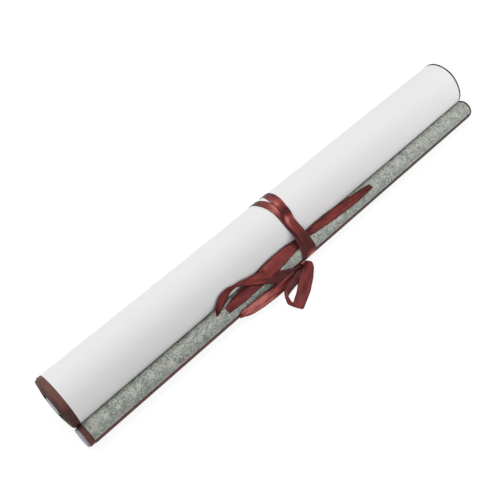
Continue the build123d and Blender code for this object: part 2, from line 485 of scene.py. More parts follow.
@dataclass(frozen=True)
class BrocadeFinish(Finish):
    """Grey-green brocade: a fine weave with curling dark and pale figure lines."""

    ground: Colour = tint(180, 184, 174)
    cool: Colour = tint(149, 162, 156)
    border: Colour = tint(134, 139, 135)
    dark: Colour = tint(88, 95, 91)
    pale: Colour = tint(222, 222, 210)
    relief: float = 0.09 * MM
    relief_strength: float = 0.6
    sheen: float = 0.1
    patch_size: float = 12 * MM
    patch_edges: Limits = (0.42, 0.66)
    patch_share: float = 0.45
    border_start: float = 14.0 * MM
    border_width: float = 7 * MM
    border_share: float = 0.55
    border_calm: float = 0.5
    leaf_size: float = 7 * MM
    pale_leaf_edges: Limits = (0.53, 0.62)
    pale_leaf_share: float = 0.42
    dark_leaf_edges: Limits = (0.36, 0.45)
    dark_leaf_share: float = 0.32
    dark_curl_size: float = 6.5 * MM
    dark_curl_share: float = 0.6
    pale_curl_size: float = 5.5 * MM
    pale_curl_share: float = 0.4
    pale_curl_shift: Point = (3.1, 1.7, 0.4)
    pale_curl_relief: float = 1.5
    pale_curl_polish: float = 0.15
    curl_width: float = 0.05
    break_size: float = 0.8
    break_edges: Limits = (0.42, 0.56)
    selvage_start: float = 22.5 * MM
    selvage_width: float = 0.4 * MM
    selvage_share: float = 0.7
    tuft_size: float = 3 * MM
    tuft_edges: Limits = (0.3, 0.6)
    thread_pitch: float = 0.42 * MM
    thread_waver: float = 0.6
    weave_edges: Limits = (0.55, 1.0)
    weave_share: float = 0.2

    def paint(self, bench: MaterialBench) -> dict[str, Term]:
        """Mottled ground with figure lines, in the panel's own flat coordinates.

        Args:
            bench: the material's node tree.

        Returns:
            Socket values of the surface, by name.
        """
        flat = bench.place("UV")
        down = bench.parts(flat)[1]
        edging = down.fade(self.border_start, self.border_start + self.border_width)
        plain = 1 - edging * self.border_calm
        shifted = bench.node("ShaderNodeMapping", None, {"Vector": flat, "Location": self.pale_curl_shift})
        dark_lines = self.curls(bench, flat, self.dark_curl_size)
        pale_lines = self.curls(bench, shifted, self.pale_curl_size)
        figured = self.leaves(bench, flat, edging, plain)
        figured = bench.blend(dark_lines * plain * self.dark_curl_share, figured, self.dark)
        figured = bench.blend(pale_lines * plain * self.pale_curl_share, figured, self.pale)
        selvage = down.fade(self.selvage_start, self.selvage_start + self.selvage_width)
        tufts = bench.cloud(flat, self.tuft_size).fade(*self.tuft_edges)
        figured = bench.blend(selvage * tufts * self.selvage_share, figured, self.pale)
        weave = self.weave(bench, flat)
        return {
            "Base Color": bench.blend(weave * self.weave_share, figured, self.dark),
            "Roughness": pale_lines * -self.pale_curl_polish + self.roughness,
            "Sheen Weight": self.sheen,
            "Normal": self.raised(bench, pale_lines * self.pale_curl_relief - weave),
        }

    def leaves(self, bench: MaterialBench, flat: Wire, edging: Wire, plain: Wire) -> Wire:
        """Mottled ground with pale and dark leaf-sized spots.

        Args:
            bench: the material's node tree.
            flat: the panel's flat coordinates.
            edging: 0 on the panel's main field and 1 in its border.
            plain: how strongly figures show, which is less in the border.

        Returns:
            The colour.
        """
        patches = bench.cloud(flat, self.patch_size).fade(*self.patch_edges)
        cooled = patches * (edging * self.border_calm + self.patch_share)
        colour = bench.blend(cooled, self.ground, self.cool)
        colour = bench.blend(edging * self.border_share, colour, self.border)
        spots = bench.cloud(flat, self.leaf_size, 1.0)
        pale_spots = spots.fade(*self.pale_leaf_edges) * plain * self.pale_leaf_share
        dark_spots = (1 - spots.fade(*self.dark_leaf_edges)) * plain * self.dark_leaf_share
        colour = bench.blend(pale_spots, colour, self.pale)
        return bench.blend(dark_spots, colour, self.dark)

    def curls(self, bench: MaterialBench, flat: Wire, size: float) -> Wire:
        """Short curling lines: level lines of a noise, broken up by another.

        Args:
            bench: the material's node tree.
            flat: the panel's flat coordinates.
            size: size of the curls in metres.

        Returns:
            1 on a line and 0 off it.
        """
        level = abs(bench.cloud(flat, size, 1.0) - 0.5)
        breaks = bench.cloud(flat, size * self.break_size, 1.0).fade(*self.break_edges)
        return (1 - level.fade(self.curl_width * 0.4, self.curl_width)) * breaks

    def weave(self, bench: MaterialBench, flat: Wire) -> Wire:
        """Gaps between the threads of a plain weave.

        Args:
            bench: the material's node tree.
            flat: the panel's flat coordinates.

        Returns:
            1 in a gap and 0 on a thread.
        """
        waves = []
        scale = math.pi / 10 / self.thread_pitch
        values = {"Vector": flat, "Scale": scale, "Distortion": self.thread_waver, "Detail": 1.0}
        for direction in ("X", "Y"):
            settings = {"wave_type": "BANDS", "bands_direction": direction, "wave_profile": "SIN"}
            waves.append(bench.node("ShaderNodeTexWave", settings, values, "Fac"))
        return waves[0].larger(waves[1]).fade(*self.weave_edges)


@dataclass(frozen=True)
class ThreadFinish(Finish):
    """Silk threads that float over the brocade."""

    body: Colour = tint(222, 222, 211)
    shade: Colour = tint(192, 194, 184)
    roughness: float = 0.38
    sheen: float = 0.2
    drift_size: float = 7 * MM
    drift_edges: Limits = (0.35, 0.65)

    def paint(self, bench: MaterialBench) -> dict[str, Term]:
        """Colour that drifts along the panel, with a soft gloss.

        Args:
            bench: the material's node tree.

        Returns:
            Socket values of the surface, by name.
        """
        drift = bench.cloud(bench.place("Object"), self.drift_size)
        return {
            "Base Color": bench.blend(drift.fade(*self.drift_edges), self.body, self.shade),
            "Roughness": self.uneven(drift),
            "Sheen Weight": self.sheen,
        }


@dataclass(frozen=True)
class SatinFinish(Finish):
    """Burgundy satin ribbon with fine warp lines along it.

    The piece's painted light attribute paints its light and shade: 0 is the deep painted shade, 0.5 the body
    colour, 1 a painted highlight and 1.5 a painted glint.
    """

    # Painted shade, the satin's own colour, a painted highlight and a painted glint.
    deep: Colour = tint(80, 30, 31)
    body: Colour = tint(131, 56, 53)
    painted_highlight: Colour = tint(206, 122, 115)
    glint: Colour = tint(226, 196, 190)
    roughness: float = 0.4
    roughness_spread: float = 0.16
    relief: float = 0.06 * MM
    relief_strength: float = 0.35
    specular: float = 0.14
    warp_pitch: float = 0.28 * MM
    warp_run: float = 60.0
    warp_share: float = 0.35
    drift_size: float = 10 * MM
    drift_stretch: Point = (1.8, 0.6, 1)
    drift_middle: float = 0.56
    drift_share: float = 1.2

    def paint(self, bench: MaterialBench) -> dict[str, Term]:
        """Painted light and shade from the place's attribute, with warp lines along the ribbon.

        Args:
            bench: the material's node tree.

        Returns:
            Socket values of the surface, by name.
        """
        across = 1 / (self.warp_pitch * 2)
        lines = bench.cloud(bench.place("UV", (across, across / self.warp_run, 1)), 1.0)
        drift = bench.cloud(bench.place("UV", self.drift_stretch), self.drift_size, 3.0)
        # Painted light and shade, shifted by drifting streaks and warp lines.
        tone = bench.node("ShaderNodeAttribute", {"attribute_name": PAINTED_LIGHT}, None, "Fac")
        tone = tone + (drift - self.drift_middle) * self.drift_share
        tone = tone + (lines - 0.5) * self.warp_share
        ground = bench.blend(tone.fade(0.0, 0.5), self.deep, self.body)
        ground = bench.blend(tone.fade(0.5, 1.0), ground, self.painted_highlight)
        return {
            "Base Color": bench.blend(tone.fade(1.0, 1.5), ground, self.glint),
            "Roughness": self.uneven(lines),
            "Specular IOR Level": self.specular,
            "Normal": self.raised(bench, lines + drift),
        }


PAPER = PaperFinish("white_paper")
BINDING = BindingFinish("brown_binding")
CUT_EDGE = BindingFinish(
    "brown_cut_edge", body=tint(116, 74, 66), deep=tint(84, 52, 47), rubbed_and_lit=tint(150, 108, 96)
)
PAINT = PaintFinish("pale_rod_paint")
BROCADE = BrocadeFinish("grey_green_brocade")
PALE_THREAD = ThreadFinish("pale_silk_thread")
DARK_THREAD = ThreadFinish(
    "dark_silk_thread", body=tint(92, 99, 95), shade=tint(118, 134, 130), roughness=0.5
)
SATIN = SatinFinish("burgundy_satin")


class Slot(Enum):
    """Material slots, by name."""

    PAPER = "white_paper"
    BINDING = "edge_strip"
    ROD = "rod_wood"
    BROCADE = "brocade"
    SATIN = "satin_ribbon"


@dataclass
class Shape:
    """Points and faces of a piece in the making, with flat coordinates for each point."""

    points: list[Vector] = field(default_factory=list)
    flats: list[tuple[float, float]] = field(default_factory=list)
    faces: list[tuple[int, ...]] = field(default_factory=list)
    second_finish: set[int] = field(default_factory=set)
    # Painted light and shade at each point, for the satin.
    painted_lights: list[float] = field(default_factory=list)

    def add(self, other: Shape) -> None:
        """Takes in another shape's points and faces.

        Args:
            other: the other shape.
        """
        first = len(self.points)
        self.second_finish |= {number + len(self.faces) for number in other.second_finish}
        self.points += other.points
        self.flats += other.flats
        self.painted_lights += other.painted_lights
        self.faces += [tuple(first + index for index in face) for face in other.faces]

    def lattice(self, rows: int, count: int) -> None:
        """Adds the faces between rows of points that are already there.

        Args:
            rows: how many rows there are.
            count: how many points are in each.
        """
        for row in range(rows - 1):
            for number in range(count - 1):
                corner = row * count + number
                self.faces.append((corner, corner + 1, corner + count + 1, corner + count))

    def piece(self, name: str, *finishes: Finish) -> bpy.types.Object:
        """Makes the object, smooth apart from its sharp edges.

        Args:
            name: the piece's name.
            finishes: its finish, and a second one for the faces that are marked for it.

        Returns:
            The object, at the origin.
        """
        mesh = bpy.data.meshes.new(name)
        mesh.from_pydata(self.points, [], self.faces)
        layer = mesh.uv_layers.new(name="flat")
        for loop in mesh.loops:
            layer.data[loop.index].uv = self.flats[loop.vertex_index]
        if self.painted_lights:
            mesh.attributes.new(PAINTED_LIGHT, "FLOAT", "POINT").data.foreach_set("value", self.painted_lights)
        for finish in finishes:
            mesh.materials.append(finish.material())
        for face in mesh.polygons:
            face.use_smooth = True
            face.material_index = 1 if face.index in self.second_finish else 0
        mesh.set_sharp_from_angle(angle=math.radians(SHARP_DEGREES))
        made = bpy.data.objects.new(name, mesh)
        bpy.context.scene.collection.objects.link(made)
        return made


def settle(piece: bpy.types.Object, slot: Slot, *nodes: str) -> None:
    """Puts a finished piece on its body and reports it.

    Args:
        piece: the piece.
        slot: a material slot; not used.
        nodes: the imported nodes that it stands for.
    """
    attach(piece, BODY)
    if nodes:
        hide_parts(*nodes)
    LOG.info("%s: %d faces", piece.name, len(piece.data.polygons))


@dataclass(frozen=True)
class Slack:
    """How far the outer turn stands off the roll above the notch, by its angle in degrees."""

    most: float = 1.5 * MM
    rise_start: float = 145.0
    rise: float = 45.0
    fall_end: float = 204.0
    fall: float = 11.0

    def at(self, angle: float) -> float:
        """Stand-off at an angle round the roll.

        Args:
            angle: the angle, of any turn.

        Returns:
            The stand-off.
        """
        turn = angle % 360
        risen = eased((turn - self.rise_start) / self.rise)
        return self.most * risen * eased((self.fall_end - turn) / self.fall)


LOOSE_TURN = Slack()


@dataclass(frozen=True)
class Bend:
    """A circular stretch of the sheet's centre line in Y and Z; a negative sweep is clockwise."""

    y: float
    z: float
    radius: float
    start: float
    sweep: float
    loose: float = 0.0

    def at(self, share: float, out: float = 0.0) -> tuple[float, float]:
        """Place on the bend.

        Args:
            share: share of the way along it.
            out: move outwards from the bend's centre.

        Returns:
            The place's Y and Z.
        """
        degrees = self.start + share * self.sweep
        angle = math.radians(degrees)
        reach = self.radius + out + self.loose * LOOSE_TURN.at(degrees)
        return self.y + reach * math.cos(angle), self.z + reach * math.sin(angle)

    def length(self) -> float:
        """Length along the bend."""
        return abs(math.radians(self.sweep)) * self.radius


@dataclass(frozen=True)
class Bundle:
    """Roll and stave side by side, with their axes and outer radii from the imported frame."""

    roll_y: float
    roll_z: float
    roll_radius: float
    stave_y: float
    stave_z: float
    stave_radius: float
    rod_radius: float
    half_sheet: float
    half_panel: float
    pushes: int = 3

    @classmethod
    def from_frame(cls) -> Bundle:
        """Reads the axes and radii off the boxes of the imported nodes.

        Returns:
            The bundle.
        """
        roller_low, roller_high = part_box("roller_rod")
        stave_low, stave_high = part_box("stave")
        roll_y = (roller_low[1] + roller_high[1]) / 2
        stave_z = (stave_low[2] + stave_high[2]) / 2
        return cls(
            roll_y=roll_y,
            roll_z=(roller_low[2] + roller_high[2]) / 2,
            roll_radius=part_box("paper_sheet")[1][1] - roll_y,
            stave_y=(stave_low[1] + stave_high[1]) / 2,
            stave_z=stave_z,
            stave_radius=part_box("brocade_panel")[1][2] - stave_z,
            rod_radius=(roller_high[2] - roller_low[2]) / 2,
            half_sheet=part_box("edge_strip_right")[1][0],
            half_panel=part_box("brocade_panel")[1][0],
        )

    def lean(self) -> float:
        """Angle round the stave of the notch line, where the sheet leaves the roll."""
        return math.degrees(math.atan2(self.roll_z - self.stave_z, self.roll_y - self.stave_y))

    def apart(self) -> float:
        """Distance between the two axes."""
        return math.hypot(self.roll_y - self.stave_y, self.roll_z - self.stave_z)

    def on_stave(self, x: float, angle: float) -> Vector:
        """Place on the stave's cover.

        Args:
            x: the place along the stave.
            angle: the angle round it.

        Returns:
            The place.
        """
        turn = math.radians(angle)
        reach = self.stave_radius
        return Vector((x, self.stave_y + reach * math.cos(turn), self.stave_z + reach * math.sin(turn)))

    def roll_skin(self, angle: float) -> float:
        """Radius of the roll's outermost turn, which steps in towards the notch.

        Args:
            angle: the angle round the roll.

        Returns:
            The radius there.
        """
        if math.sin(math.radians(angle)) <= 0:
            return self.roll_radius
        step = TURN_PITCH / 2 * (1 - math.cos(math.radians(angle)))
        return self.roll_radius - step + LOOSE_TURN.at(angle)

    def cleared(self, point: Vector, lift: float) -> Vector:
        """The point, pushed out of the roll, the stave and the floor.

        Args:
            point: a place, in them or not.
            lift: how far off them it has to be.

        Returns:
            The place after the push.
        """
        place = point.copy()
        for _ in range(self.pushes):
            for y, z, radius in self.circles(place):
                gap = Vector((0, place.y - y, place.z - z))
                if gap.length < radius + lift:
                    gap.length = radius + lift
                    place = Vector((place.x, y + gap.y, z + gap.z))
        place.z = max(place.z, lift)
        return place

    def circles(self, place: Vector) -> list[Point]:
        """Sections of the stave's cover and of the roll's surface next to a place.

        Args:
            place: the place.

        Returns:
            Y and Z of each axis, with its radius.
        """
        roll_angle = math.degrees(math.atan2(place.z - self.roll_z, place.y - self.roll_y)) % 360
        roll_radius = self.roll_skin(roll_angle)
        if 180 <= roll_angle < 180 + self.lean():
            roll_radius = self.roll_radius - TURN_PITCH + LOOSE_TURN.at(roll_angle)
        return [
            (self.stave_y, self.stave_z, self.stave_radius),
            (self.roll_y, self.roll_z, roll_radius),
        ]


@dataclass(frozen=True)
class Winding:
    """The sheet's way from the roller rod out to the notch and over the stave."""

    bundle: Bundle
    thickness: float = 0.6 * MM
    glue_gap: float = 0.05 * MM
    turns: int = 12
    tightening: float = 0.45
    step_degrees: float = 4.0
    brocade_end: float = 173.0
    cover_end: float = 300.0

    def roll(self) -> list[Bend]:
        """Half-turns from the rod out to the line where the sheet leaves the roll.

        Returns:
            The bends in order.
        """
        way = self.bundle
        half = TURN_PITCH / 2
        outer = way.roll_radius - self.thickness / 2
        first = outer - self.turns * TURN_PITCH
        glued = way.rod_radius + self.glue_gap + self.thickness / 2
        bends = [Bend(way.roll_y, way.roll_z, glued, 360, -180)]
        bends.append(Bend(way.roll_y + (first - glued) / 2, way.roll_z, (first + glued) / 2, 180, -180))
        for turn in range(self.turns):
            radius = first + turn * TURN_PITCH
            loose = max(0.0, 1 - self.tightening * (self.turns - 1 - turn))
            bends.append(Bend(way.roll_y, way.roll_z, radius, 360, -180, loose))
            bends.append(Bend(way.roll_y + half, way.roll_z, radius + half, 180, -180, loose))
        bends.append(Bend(way.roll_y, way.roll_z, outer, 360, way.lean() - 180))
        return bends

    def over_stave(self, start: float, end: float) -> Bend:
        """The cover's way round the stave between two angles."""
        way = self.bundle
        return Bend(way.stave_y, way.stave_z, way.stave_radius - self.thickness / 2, start, end - start)

    def band(
        self,
        bends: Sequence[Bend],
        slices: Sequence[float],
        proud: float = 0.0,
        shift: Callable[[float, float], float] | None = None,
    ) -> Shape:
        """Closed sheet along the bends, drawn out over slices of X.

        Args:
            bends: the sheet's centre line.
            slices: the places along X.
            proud: extra thickness on each face.
            shift: move along X of a place, from its distance along the sheet and its slice.

        Returns:
            The shape, with the faces across its two ends in X marked for a second finish.
        """
        half = self.thickness / 2 + proud
        rows: list[tuple[tuple[float, float], tuple[float, float], float]] = []
        run = 0.0
        for number, bend in enumerate(bends):
            side = half if bend.sweep < 0 else -half
            step = self.step_degrees / 2 if bend.loose else self.step_degrees
            count = max(2, math.ceil(abs(bend.sweep) / step))
            for index in range(1 if number else 0, count + 1):
                share = index / count
                rows.append((bend.at(share, side), bend.at(share, -side), run + share * bend.length()))
            run += bend.length()
        shape = Shape()
        for outer, inner, distance in rows:
            for y, z in (outer, inner):
                for x in slices:
                    moved = x + (shift(distance, x) if shift else 0.0)
                    shape.points.append(Vector((moved, y, max(z, 0.0))))
                    shape.flats.append((x, distance))
        self.stitch(shape, len(rows), len(slices))
        return shape

    def stitch(self, shape: Shape, rows: int, slices: int) -> None:
        """Adds a band's faces: both sides, the two long rims and the two ends in X.

        Args:
            shape: the band, with its points.
            rows: how many rows it has along the sheet.
            slices: how many slices it has along X.
        """

        def spot(row: int, side: int, number: int) -> int:
            """Number of the point in a row, on a side, at a slice."""
            return (row * 2 + side) * slices + number

        last = slices - 1
        end = rows - 1
        for row in range(end):
            after = row + 1
            for left in range(last):
                right = left + 1
                shape.faces += [
                    (spot(row, 0, left), spot(row, 0, right), spot(after, 0, right), spot(after, 0, left)),
                    (spot(row, 1, left), spot(after, 1, left), spot(after, 1, right), spot(row, 1, right)),
                ]
            shape.second_finish |= {len(shape.faces), len(shape.faces) + 1}
            shape.faces += [
                (spot(row, 0, 0), spot(after, 0, 0), spot(after, 1, 0), spot(row, 1, 0)),
                (spot(row, 0, last), spot(row, 1, last), spot(after, 1, last), spot(after, 0, last)),
            ]
        for left in range(last):
            right = left + 1
            shape.faces += [
                (spot(0, 0, left), spot(0, 1, left), spot(0, 1, right), spot(0, 0, right)),
                (spot(end, 0, left), spot(end, 0, right), spot(end, 1, right), spot(end, 1, left)),
            ]


@dataclass(frozen=True)
class BoundEnd:
    """Bound edge at one end of the roll: its rims in X, and how far its turns have slipped.

    Distances run along the sheet from the rod, and the whole is the distance at the sheet's end.
    """

    side: int
    inner: float
    outer: float
    whole: float
    cover_trim: float
    rim: float = 1.0 * MM
    waver: float = 0.4 * MM
    waver_length: float = 60 * MM
    waver_shift: float = 7.3
    telescope: float = 0.8 * MM
    slip: float = 2.0 * MM
    loose_length: float = 150 * MM
    loose_ease: float = 25 * MM
    cover_reach: float = 0.2 * MM
    cover_length: float = 48 * MM
    cover_ease: float = 9.6 * MM

    def move(self, distance: float, x: float) -> float:
        """Move along X: inner turns have slipped towards -X, and the outermost towards +X.

        The inner rim moves only on the stretch that covers the stave.

        Args:
            distance: a place's distance along the sheet.
            x: its slice before the move.

        Returns:
            The move.
        """
        left = self.whole - distance
        loose = clamped((self.loose_length - left) / self.loose_ease)
        cover = clamped((self.cover_length - left) / self.cover_ease)
        if abs(x - self.inner) < self.rim:
            return self.cover_trim * cover
        if abs(x - self.outer) > self.rim:
            return 0.0
        rolled = self.telescope * (2 * loose - 1) - self.slip * (1 - distance / self.whole)
        uneven = noise.noise(Vector((distance / self.waver_length, self.side * self.waver_shift, 0.5)))
        return rolled * (1 - cover) + self.side * self.cover_reach * cover + self.waver * uneven


@dataclass
class Sheet:
    """The scroll's sheet: paper, bound edges and the brocade over the stave."""

    winding: Winding
    near_trim: float = 0.55 * MM
    far_trim: float = 1.0 * MM
    far_reach: float = 1.2 * MM
    cover_trim: float = 0.8 * MM
    binding_proud: float = 0.05 * MM
    top_proud: float = 0.5 * MM
    paper_slices: int = 8
    cover_slices: int = 60

    def near(self) -> float:
        """Place along X where the paper meets the left bound edge."""
        return self.near_trim - self.winding.bundle.half_panel

    def far(self) -> float:
        """Place along X where the paper meets the right bound edge."""
        return self.winding.bundle.half_panel + self.far_reach + self.far_trim

    def build(self) -> None:
        """Makes the paper, the three bound edges and the brocade."""
        way = self.winding
        panel = spread(self.near(), self.far(), self.paper_slices)
        paper = way.band(way.roll(), panel).piece("paper_roll", PAPER)
        settle(paper, Slot.PAPER, "paper_sheet")
        self.bind_ends()
        cover = spread(self.near(), self.far() + self.cover_trim, self.cover_slices)
        strip = way.over_stave(way.brocade_end, way.cover_end)
        top = way.band([strip], cover, self.top_proud).piece("top_binding", BINDING)
        settle(top, Slot.BINDING, "edge_strip_top")
        cloth = way.over_stave(way.bundle.lean(), way.brocade_end)
        brocade = way.band([cloth], cover).piece("brocade_cover", BROCADE)
        settle(brocade, Slot.BROCADE, "brocade_panel")

    def bind_ends(self) -> None:
        """Makes the bound edge at each end of the roll, whose turns stand a little unevenly."""
        way = self.winding
        bundle = way.bundle
        line = way.roll() + [way.over_stave(bundle.lean(), way.cover_end)]
        whole = sum(bend.length() for bend in line)
        left = BoundEnd(-1, self.near(), -bundle.half_sheet, whole, 0.0)
        right = BoundEnd(1, self.far(), bundle.half_sheet + self.far_reach, whole, self.cover_trim)
        for end, name, node in (
            (left, "end_binding_left", "edge_strip_left"),
            (right, "end_binding_right", "edge_strip_right"),
        ):
            slices = sorted(spread(end.inner, end.outer, 2))
            shape = way.band(line, slices, self.binding_proud, end.move)
            settle(shape.piece(name, BINDING, CUT_EDGE), Slot.BINDING, node)


@dataclass
class FloatThreads:
    """Short floating threads scattered over the brocade by a node tree."""

    winding: Winding
    name: str
    finish: Finish
    per_square_metre: float
    spacing: float
    radius: float
    thickness: float
    seed: int
    size_range: Limits = (0.65, 1.35)
    bend_degrees: float = 70.0
    bend_points: int = 5
    sides: int = 4
    flatness: float = 0.45
    centring: float = 0.9
    margin_degrees: float = 7.0
    margin: float = 2 * MM
    skin_rows: int = 30
    skin_slices: int = 60

    def build(self) -> None:
        """Scatters the threads over the panel's outer face and makes them one mesh."""
        skin = self.skin()
        modifier = skin.modifiers.new("threads", "NODES")
        modifier.node_group = self.tree()
        for item in modifier.node_group.interface.items_tree:
            given = self.inputs().get(item.name)
            if item.in_out == "INPUT" and given is not None:
                modifier[item.identifier] = given
        graph = bpy.context.evaluated_depsgraph_get()
        mesh = bpy.data.meshes.new_from_object(skin.evaluated_get(graph))
        bpy.data.objects.remove(skin)
        threads = bpy.data.objects.new(self.name, mesh)
        bpy.context.scene.collection.objects.link(threads)
        settle(threads, Slot.BROCADE)

    def inputs(self) -> dict[str, Any]:
        """The tree's input values by name."""
        return {
            "Density": self.per_square_metre,
            "Spacing": self.spacing,
            "Radius": self.radius,
            "Thickness": self.thickness,
            "Finish": self.finish.material(),
        }

    def skin(self) -> bpy.types.Object:
        """The panel's outer face alone, a little inside its edges.

        Returns:
            The object that the threads are scattered over.
        """
        way = self.winding
        bundle = way.bundle
        edge = bundle.half_panel - self.margin
        last = way.brocade_end - self.margin_degrees / 2
        angles = spread(bundle.lean() + self.margin_degrees, last, self.skin_rows)
        places = spread(-edge, edge, self.skin_slices)
        shape = Shape()
        for angle in angles:
            for x in places:
                shape.points.append(bundle.on_stave(x, angle))
                shape.flats.append((x, angle))
        shape.lattice(len(angles), len(places))
        return shape.piece(self.name + "_skin", self.finish)

    def tree(self) -> bpy.types.NodeTree:
        """Node tree that scatters bent threads over a face.

        Returns:
            The tree, with its sizes and its material as inputs.
        """
        tree = bpy.data.node_groups.new(self.name, "GeometryNodeTree")
        bench = NodeBench(tree)
        given = self.sockets(bench)
        spots = bench.add("GeometryNodeDistributePointsOnFaces", {"distribute_method": "POISSON"}, {
            "Mesh": given["Geometry"],
            "Distance Min": given["Spacing"],
            "Density Max": given["Density"],
            "Seed": self.seed,
        })
        spin = self.chance(bench, (0.0, math.tau), 1)
        turn = bench.node("ShaderNodeCombineXYZ", None, {"Z": spin})
        turn = bench.node("FunctionNodeEulerToRotation", None, {0: turn})
        facing = bench.node("FunctionNodeRotateRotation", {"rotation_space": "LOCAL"}, {
            0: bench.wire(spots, "Rotation"),
            1: turn,
        })
        placed = bench.node("GeometryNodeInstanceOnPoints", None, {
            "Points": bench.wire(spots, "Points"),
            "Instance": self.thread(bench, given),
            "Rotation": facing,
            "Scale": self.chance(bench, self.size_range, 2),
        })
        whole = bench.node("GeometryNodeRealizeInstances", None, {"Geometry": placed})
        finish = {"Geometry": whole, "Material": given["Finish"]}
        dressed = bench.node("GeometryNodeSetMaterial", None, finish)
        bench.add("NodeGroupOutput", None, {"Geometry": dressed})
        return tree

    def sockets(self, bench: NodeBench) -> dict[str, Wire]:
        """Gives the tree its inputs and its output.

        Args:
            bench: the tree.

        Returns:
            A wire from each input, by its name.
        """
        kinds = {"Geometry": "Geometry"}
        kinds |= dict.fromkeys(("Density", "Spacing", "Radius", "Thickness"), "Float")
        kinds["Finish"] = "Material"
        interface = bench.tree.interface
        for name, kind in kinds.items():
            interface.new_socket(name=name, in_out="INPUT", socket_type="NodeSocket" + kind)
        interface.new_socket(name="Geometry", in_out="OUTPUT", socket_type="NodeSocketGeometry")
        source = bench.add("NodeGroupInput")
        return {socket.name: Wire(bench, socket) for socket in source.outputs if socket.name}

    def chance(self, bench: NodeBench, limits: Limits, offset: int) -> Wire:
        """A random value between two limits, of its own seed."""
        values = {"Min": limits[0], "Max": limits[1], "Seed": self.seed + offset}
        return bench.node("FunctionNodeRandomValue", {"data_type": "FLOAT"}, values, "Value")

    def thread(self, bench: NodeBench, given: Mapping[str, Wire]) -> Wire:
        """One bent thread, flat on its face and centred on its place.

        Args:
            bench: the tree.
            given: a wire from each of the tree's inputs, by name.

        Returns:
            The thread's mesh.
        """
        sweep = math.radians(self.bend_degrees)
        arc = bench.node("GeometryNodeCurveArc", {"mode": "RADIUS"}, {
            "Resolution": self.bend_points,
            "Radius": given["Radius"],
            "Start Angle": -sweep / 2,
            "Sweep Angle": sweep,
        })
        ring = bench.node("GeometryNodeCurvePrimitiveCircle", {"mode": "RADIUS"}, {
            "Resolution": self.sides,
            "Radius": given["Thickness"],
        })
        rope = bench.node("GeometryNodeCurveToMesh", None, {
            "Curve": arc,
            "Profile Curve": ring,
            "Fill Caps": True,
        })
        back = bench.node("ShaderNodeCombineXYZ", None, {"X": given["Radius"] * -self.centring})
        return bench.node("GeometryNodeTransform", None, {
            "Geometry": rope,
            "Translation": back,
            "Scale": (1.0, 1.0, self.flatness),
        })


@dataclass(frozen=True)
class Span:
    """A line across a ribbon: its two ends and the painted light and shade there."""

    first: Vector
    last: Vector
    tone: float

    def middle(self) -> Vector:
        """Half-way point of the line."""
        return (self.first + self.last) / 2


def span(first: Point, last: Point, tone: float) -> Span:
    """Span between two points in millimetres."""
    return Span(Vector(first) * MM, Vector(last) * MM, tone)


def between(values: Sequence[Any], number: int, share: float) -> Any:
    """Smooth value between two of a row of numbers or vectors, on a curve through all of them.

    Args:
        values: the row.
        number: place in the row of the first of the two.
        share: share of the way to the second.

    Returns:
        The value.
    """
    last = len(values) - 1
    before = values[max(number - 1, 0)]
    start = values[number]
    end = values[min(number + 1, last)]
    after = values[min(number + 2, last)]
    square = share * share
    cube = square * share
    return 0.5 * (
        2 * start
        + (end - before) * share
        + (2 * before - 5 * start + 4 * end - after) * square
        + (3 * start - before - 3 * end + after) * cube
    )


